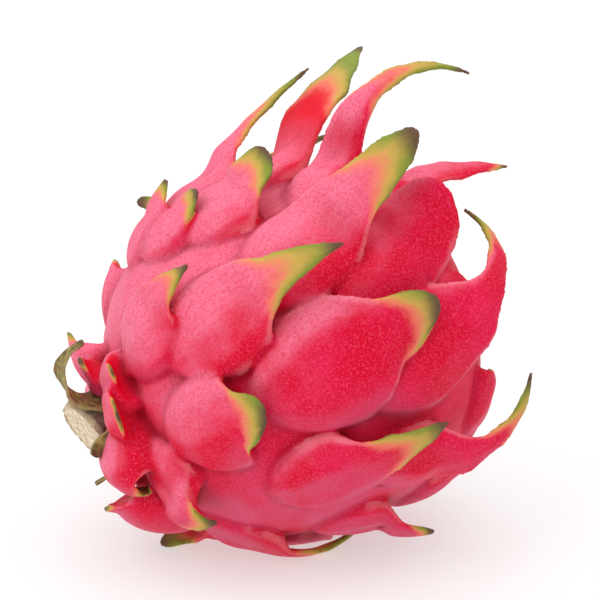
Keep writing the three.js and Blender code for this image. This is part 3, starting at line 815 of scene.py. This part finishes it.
class Finish:
    """A material, with short ways to add nodes to it."""

    def __init__(self, name, settings):
        self.material = bpy.data.materials.new(name)
        self.material.use_nodes = True
        self.tree = self.material.node_tree
        self.shader = self.tree.nodes["Principled BSDF"]
        for socket, value in settings.items():
            self.shader.inputs[socket].default_value = value

    def feed(self, socket, value):
        if isinstance(value, Value):
            self.tree.links.new(value.output, socket)
        else:
            socket.default_value = value

    def node(self, kind, settings=None, inputs=None, output=0):
        made = self.tree.nodes.new(kind)
        for setting, value in (settings or {}).items():
            setattr(made, setting, value)
        for socket, value in (inputs or {}).items():
            self.feed(made.inputs[socket], value)
        return Value(self, made.outputs[output])

    def number(self, name):
        return self.node("ShaderNodeAttribute", {"attribute_name": name}, output="Fac")

    def place(self):
        return self.node("ShaderNodeTexCoord", output="Object")

    def noise(self, size_mm, detail=2.0, rough=0.5, stretch=(1, 1, 1)):
        """Noise between 0 and 1, in blots of about this size; stretch draws them out along an axis."""
        scaled = self.node(
            "ShaderNodeVectorMath",
            {"operation": "MULTIPLY"},
            {0: self.place(), 1: tuple(1 / (size_mm * MM * factor) for factor in stretch)},
        )
        return self.node(
            "ShaderNodeTexNoise",
            inputs={"Vector": scaled, "Scale": 1.0, "Detail": detail, "Roughness": rough},
        )

    def mix(self, amount, first, second):
        return self.node(
            "ShaderNodeMix", {"data_type": "RGBA"}, {0: amount, 6: first, 7: second}, output=2
        )

    def bump(self, height, depth_mm, strength=1.0, under=None):
        inputs = {"Height": height, "Distance": depth_mm * MM, "Strength": strength}
        if under is not None:
            inputs["Normal"] = under
        return self.node("ShaderNodeBump", inputs=inputs, output="Normal")

    def use(self, socket, value):
        self.feed(self.shader.inputs[socket], value)

    def cover(self, piece):
        piece.data.materials.clear()
        piece.data.materials.append(self.material)


# %% [markdown]
# ## The skin's finish
# The skin is a strong pink with a waxy bloom, paler along the ridges, and covered in fine light
# freckles. Painted shade darkens it in the hollows, painted light makes the side facing the soft box
# paler, and the side facing down gets a dull pink painted reflection of the table. Towards its tip a
# scale ripens last: it goes through salmon and yellow-green to green, its margins before its middle,
# and the very tip dries brown. The inner face of a scale never sees the sun and stays a clear red,
# with the same green margins.

# %% The skin
PINK = {
    "light": colour(242, 122, 150),
    "rose": colour(232, 24, 76),
    "deep": colour(220, 0, 44),
    # painted shade, for the folds
    "fold_shade": colour(160, 0, 30),
    "freckle": colour(244, 70, 116),
    "margin": colour(246, 150, 160),
    # a painted reflection of the lit table, for the side facing down
    "table_reflection": colour(206, 104, 138),
    "inner": colour(226, 4, 36),
}
GREEN = {
    "salmon": colour(242, 128, 104),
    "straw": colour(206, 168, 82),
    "leaf": colour(136, 150, 58),
    "olive": colour(112, 112, 46),
    "brown": colour(100, 58, 62),
}
skin = Finish("pink_waxy_skin", {
    "Roughness": 0.46, "Subsurface Weight": 0.12, "Subsurface Scale": 0.003,
    "Subsurface Radius": (1.0, 0.35, 0.4), "Specular IOR Level": 0.12,
})
blade, edge, inside = skin.number("blade"), skin.number("edge"), skin.number("inside")
ripe, to_tip = skin.number("ripe"), skin.number("to_tip")
hollow, ridge = skin.number("hollow"), skin.number("ridge")
bloom_and_lit_side, shaded = skin.number("bloom_and_lit_side"), skin.number("shaded")
patches = skin.noise(14, detail=3)
mottle = skin.noise(3.2, detail=4, rough=0.6)
freckles = skin.noise(0.46, detail=1).ramp(0.5, 0.64)
dots = skin.noise(0.6, detail=1).ramp(0.52, 0.64)
along_scale = skin.node(
    "ShaderNodeCombineXYZ",
    inputs={"X": skin.number("across") * 0.7, "Y": skin.number("down") * 0.09, "Z": skin.number("which")},
)
veins = skin.node(
    "ShaderNodeTexNoise", inputs={"Vector": along_scale, "Scale": 1.0, "Detail": 4.0, "Roughness": 0.6}
)

body = skin.mix(patches.ramp(0.35, 0.7), PINK["deep"], PINK["rose"])
# Painted light: the side facing the soft box is made paler, along with the ridges and random tone.
paler = bloom_and_lit_side + ridge * 0.25 + (patches - 0.5) * 0.6 + (mottle - 0.5) * 0.4
body = skin.mix(paler.ramp(0.2, 1.1), body, PINK["light"])
body = skin.mix(veins.ramp(0.5, 0.75) * 0.45 * (1 - bloom_and_lit_side * 0.4), body, PINK["deep"])
# Painted reflection: the side facing down turns a dull, paler pink, as if it reflected the lit table.
body = skin.mix(shaded * 0.62 * patches.ramp(0.25, 0.6), body, PINK["table_reflection"])
body = skin.mix(freckles * 0.5, body, PINK["freckle"])
body = skin.mix(dots * 0.34, body, PINK["deep"])
# Painted shade: the folds are darkened to crimson.
body = skin.mix(hollow * 0.95, body, PINK["fold_shade"])
rim = edge.ramp(0.8, 0.95) * (1 - blade.ramp(0.3, 0.6))
body = skin.mix(rim * 0.4, body, PINK["margin"])

inner = skin.mix(mottle.ramp(0.4, 0.8) * 0.4, PINK["inner"], PINK["rose"])
flesh = skin.mix(inside, body, inner)

# %% The green margins and brown tips
wobble = (mottle - 0.5) * 0.35 + (patches - 0.5) * 0.3
turning = ripe - 0.14 + wobble + edge.power(2.5) * 0.66 * blade.ramp(0.08, 0.45)
turning = turning + inside * ripe.ramp(0.0, 0.7) * 0.4
ripened = skin.mix(turning.ramp(-0.28, 0.1) * 0.9, flesh, GREEN["salmon"])
ripened = skin.mix(turning.ramp(-0.02, 0.32), ripened, GREEN["straw"])
ripened = skin.mix(turning.ramp(0.2, 0.8), ripened, GREEN["leaf"])
ripened = skin.mix(edge.ramp(0.88, 1.0) * turning.ramp(0.1, 0.5) * 0.7, ripened, GREEN["olive"])
tip = (1 - (to_tip + wobble * 5).ramp(1.6, 7.0)) * ripe.ramp(0.1, 0.6)
skin.use("Base Color", skin.mix(tip * 0.85, ripened, GREEN["brown"]))
skin.use("Roughness", 0.4 + mottle * 0.14 + hollow * 0.1)
grain = skin.bump(skin.noise(0.55, detail=2), 0.05, 0.5)
skin.use("Normal", skin.bump(mottle + veins * 1.5, 0.3, 0.5, under=grain))
skin.cover(fruit)
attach(fruit, "root")
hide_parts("fruit")

# %% [markdown]
# ## The stem stub
# The fruit is cut from the cactus with a piece of stem left on it. That stub dries to a grey-brown
# cork, swollen at its collar, and its slanting cut shows the pale fibres inside. It is turned like
# a spindle, its far rings are slid onto the plane of the cut, and its surface is roughened.

# %% The stub's shape
VERY_FINE = 0.4             # mm
BARK_LUMPS = ({"depth": 0.45, "size": 7, "seed": 11}, {"depth": 0.22, "size": 2.4, "seed": 12})
BARK_SHRINK = 0.35          # keeps the lumps inside the seat
PITH = {"sink": 0.5, "flat": 3, "end": 5.5}     # it dries and sinks, most inside "flat" mm
CUT_FIBRES = {"depth": 0.12, "size": 1.5, "seed": 13}
stub_rings = turned(stub_profile(), VERY_FINE)
cut_slope = math.tan(math.radians(STUB["cut"]))
cut_at = STUB["length"] - 1


def beyond_cut(rings):
    """How far points lie beyond the slanting cut, in mm along the stub."""
    return rings[..., 0] - (cut_at - cut_slope * rings[..., 2])


cork_lumps = sum(each["depth"] * wave(stub_rings, each["size"], each["seed"]) for each in BARK_LUMPS)
outward = np.concatenate([0 * stub_rings[..., :1], stub_rings[..., 1:]], -1)
outward = outward / np.maximum(np.linalg.norm(outward, axis=-1, keepdims=True), 1)
stub_rings = stub_rings + outward * (cork_lumps - BARK_SHRINK)[..., None]
over = np.maximum(beyond_cut(stub_rings), 0)
stub_rings[..., 0] -= over
on_cut = (over > 0.05).astype(float)
radius_here = np.hypot(stub_rings[..., 1], stub_rings[..., 2])
pith_sunk = PITH["sink"] * smooth(-radius_here, -PITH["end"], -PITH["flat"])
frayed = CUT_FIBRES["depth"] * wave(stub_rings, CUT_FIBRES["size"], CUT_FIBRES["seed"])
stub_rings[..., 0] -= on_cut * (pith_sunk + frayed)
stub_points, stub_faces = round_body(stub_rings)
stub = mesh_piece("stem_stub_cork", at_stub(stub_points), stub_faces)
face_outwards(stub)
cut_away(stub, [name + "_seat" for name in dry_rows])
stub_local = (places(stub) - stub_root) @ STUB_AXES
set_number(stub, "cut", smooth(beyond_cut(stub_local), -1.3, -0.5))
set_number(stub, "from_axis", np.hypot(stub_local[:, 1], stub_local[:, 2]))
put(stub, to_row(places(stub)))
shade_smooth(stub)
print("stem stub:", len(stub.data.polygons), "faces")

# %% The stub's finish
cork = Finish("stem_cork", {"Roughness": 0.85, "Specular IOR Level": 0.2})
lumps = cork.noise(2.6, detail=5, rough=0.65)
blots = cork.noise(7, detail=3)
bark = cork.mix(lumps.ramp(0.35, 0.65), colour(96, 76, 62), colour(150, 136, 116))
bark = cork.mix(blots.ramp(0.5, 0.7) * 0.7, bark, colour(132, 122, 70))
fibres = cork.noise(0.9, detail=4, rough=0.7)
pith = cork.mix(fibres.ramp(0.35, 0.65), colour(206, 180, 142), colour(250, 238, 214))
pith = cork.mix(cork.number("from_axis").ramp(6, 7.8) * 0.6, pith, colour(150, 128, 92))
cork.use("Base Color", cork.mix(cork.number("cut"), bark, pith))
cork.use("Normal", cork.bump(lumps + fibres * 0.5, 0.5, 0.7))
cork.cover(stub)
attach(stub, "root")
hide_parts("stem_stub")

# %% [markdown]
# ## The withered scales
# Round the stub stand the oldest scales. They have dried to olive-brown paper that stands away
# from the fruit. They have the shape of the others but are thin, have no cushion, and are crumpled.

# %% The withered scales
paper = Finish("withered_scale", {"Roughness": 0.7, "Specular IOR Level": 0.3})
streaks = paper.noise(1.4, detail=4, rough=0.6)
tint = paper.noise(5, detail=2)
dried = paper.mix(streaks.ramp(0.35, 0.7), colour(104, 88, 50), colour(164, 150, 84))
dried = paper.mix(tint.ramp(0.5, 0.65) * 0.6, dried, colour(146, 92, 74))
dried = paper.mix((1 - paper.number("to_tip").ramp(0.5, 3)) * 0.7, dried, colour(84, 60, 44))
dried = paper.mix(paper.number("edge").ramp(0.85, 1) * 0.4, dried, colour(190, 176, 120))
paper.use("Base Color", dried)
paper.use("Normal", paper.bump(streaks, 0.4, 0.6))

for seed, (name, (upper, lower, t, side)) in enumerate(dry_faces.items()):
    crumple = (0.12 * wave(upper, 3, seed=21 + seed) * smooth(t, 0.15, 0.5))[..., None]
    away = unit(upper - lower)
    upper, lower = upper + crumple * away, lower + crumple * away
    withered = mesh_piece(name + "_paper", *shell(upper, lower))
    face_outwards(withered)
    put(withered, to_row(places(withered)))
    found = nearest(places(withered), to_row(np.concatenate([upper.reshape(-1, 3), lower.reshape(-1, 3)])))
    to_its_tip = np.tile(((1 - t) * dry_rows[name]["length"]).ravel(), 2)
    set_number(withered, "to_tip", to_its_tip[found])
    set_number(withered, "edge", np.tile(np.abs(side).ravel(), 2)[found])
    shade_smooth(withered)
    paper.cover(withered)
    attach(withered, "root")
    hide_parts(name)
    print(name, len(withered.data.polygons), "faces")

# %% [markdown]
# ## The flower scar
# The flower grew from the far end. When it dropped, it left a woody plug in the navel, rough with
# broken fibres round a small pit. It is turned like the stub and its rim is frayed.

# %% The flower scar
scar_rings = turned(scar_profile(), VERY_FINE)
scar_radius = np.hypot(scar_rings[..., 1], scar_rings[..., 2])
scar_angle = np.arctan2(scar_rings[..., 2], scar_rings[..., 1])
rays = np.sin(scar_angle * 17 + 1.3 * np.sin(scar_angle * 5)) * smooth(scar_radius, 2.5, 6)
front = smooth(scar_rings[..., 0], 0.8, 1.8)
scar_rings[..., 0] += front * (0.35 * rays + 0.25 * wave(scar_rings, 2.0, seed=31))
scar_points, scar_faces = round_body(scar_rings + vec(scar_x, 0, 0))
scar = mesh_piece("flower_scar_wood", scar_points, scar_faces)
face_outwards(scar)
put(scar, to_row(places(scar)))
shade_smooth(scar)

wood = Finish("flower_scar", {"Roughness": 0.85, "Specular IOR Level": 0.2})
splinters = wood.noise(1.0, detail=5, rough=0.7)
brown = wood.mix(splinters.ramp(0.35, 0.65), colour(72, 46, 32), colour(148, 112, 74))
wood.use("Base Color", brown)
wood.use("Normal", wood.bump(splinters, 0.5, 0.7))
wood.cover(scar)
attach(scar, "root")
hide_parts("flower_scar")
print("flower scar:", len(scar.data.polygons), "faces")

# %% [markdown]
# ## The table and the light
# The fruit lies on a plain white table under soft, nearly even light, a little stronger from the
# upper left. The table glows a little, like a light box, so the shadow on it is only a faint grey
# pool and the underside of the fruit is not lost in the dark.

# %% The table
TABLE_SIZE = 12.0           # in metres, far past the edges of the view
BELOW_FRUIT = 0.0002        # metres, so that table and fruit don't share a surface
half = TABLE_SIZE / 2
floor = mesh_piece(
    "table_top",
    np.array([[-half, -half, 0], [half, -half, 0], [half, half, 0], [-half, half, 0]]),
    [[0, 1, 2, 3]],
)
floor.location.z = -BELOW_FRUIT
white = Finish("white_table", {
    "Roughness": 0.9, "Base Color": colour(184, 184, 184), "Specular IOR Level": 0.1,
    "Emission Color": (1, 1, 1, 1), "Emission Strength": 0.5,
})
white.cover(floor)

# %% [markdown]
# ## Lights and camera
# The room is a white dome, dim at the horizon and bright overhead, which gives the even light of a
# studio tent. One soft box at the upper left shapes the cushions. The camera is far off with a long
# lens, so that the near scales aren't drawn larger than the far ones.

# %% The lights
look_at = centre * MM + vec(0.0023, 0, 0.013)
SOFT_BOX = {"direction": (-0.75, -0.4, 0.6), "distance": 0.9, "size": 0.5, "watts": 1.6}
SKY = {"horizon": 0.35, "overhead": 1.87}


def aim_at(holder, direction):
    holder.rotation_euler = Vector(direction).to_track_quat("-Z", "Y").to_euler()


def soft_light(name, direction, distance, size, watts):
    """A square soft box at this direction from the fruit, turned to face it."""
    lamp = bpy.data.lights.new(name, "AREA")
    lamp.size = size
    lamp.energy = watts
    holder = bpy.data.objects.new(name, lamp)
    bpy.context.collection.objects.link(holder)
    away = unit(vec(*direction))
    holder.location = look_at + away * distance
    aim_at(holder, -away)


world = bpy.data.worlds.new("white_room")
bpy.context.scene.world = world
world.use_nodes = True
nodes, links = world.node_tree.nodes, world.node_tree.links
where = nodes.new("ShaderNodeTexCoord")
parts = nodes.new("ShaderNodeSeparateXYZ")
overhead = nodes.new("ShaderNodeMath")
overhead.operation = "POWER"
overhead.use_clamp = True
overhead.inputs[1].default_value = 2.0
strength = nodes.new("ShaderNodeMapRange")
strength.inputs["To Min"].default_value = SKY["horizon"]
strength.inputs["To Max"].default_value = SKY["overhead"]
links.new(where.outputs["Generated"], parts.inputs[0])
links.new(parts.outputs["Z"], overhead.inputs[0])
links.new(overhead.outputs[0], strength.inputs["Value"])
surround = nodes["Background"]
surround.inputs["Color"].default_value = (1, 1, 1, 1)
links.new(strength.outputs[0], surround.inputs["Strength"])
soft_light("key", **SOFT_BOX)
bpy.context.scene.view_settings.view_transform = "Standard"
print("soft box of", SOFT_BOX["watts"], "W, sky from", SKY["horizon"], "to", SKY["overhead"])

# %% The camera
VIEW = {"azimuth": -17, "elevation": 14, "distance": 0.431, "lens": 110}
azimuth, elevation = math.radians(VIEW["azimuth"]), math.radians(VIEW["elevation"])
back = vec(
    math.sin(azimuth) * math.cos(elevation),
    -math.cos(azimuth) * math.cos(elevation),
    math.sin(elevation),
)
camera_data = bpy.data.cameras.new("camera")
camera_data.lens = VIEW["lens"]
camera_data.sensor_width = 36
camera = bpy.data.objects.new("camera", camera_data)
bpy.context.collection.objects.link(camera)
camera.location = look_at + back * VIEW["distance"]
aim_at(camera, -back)
bpy.context.scene.camera = camera
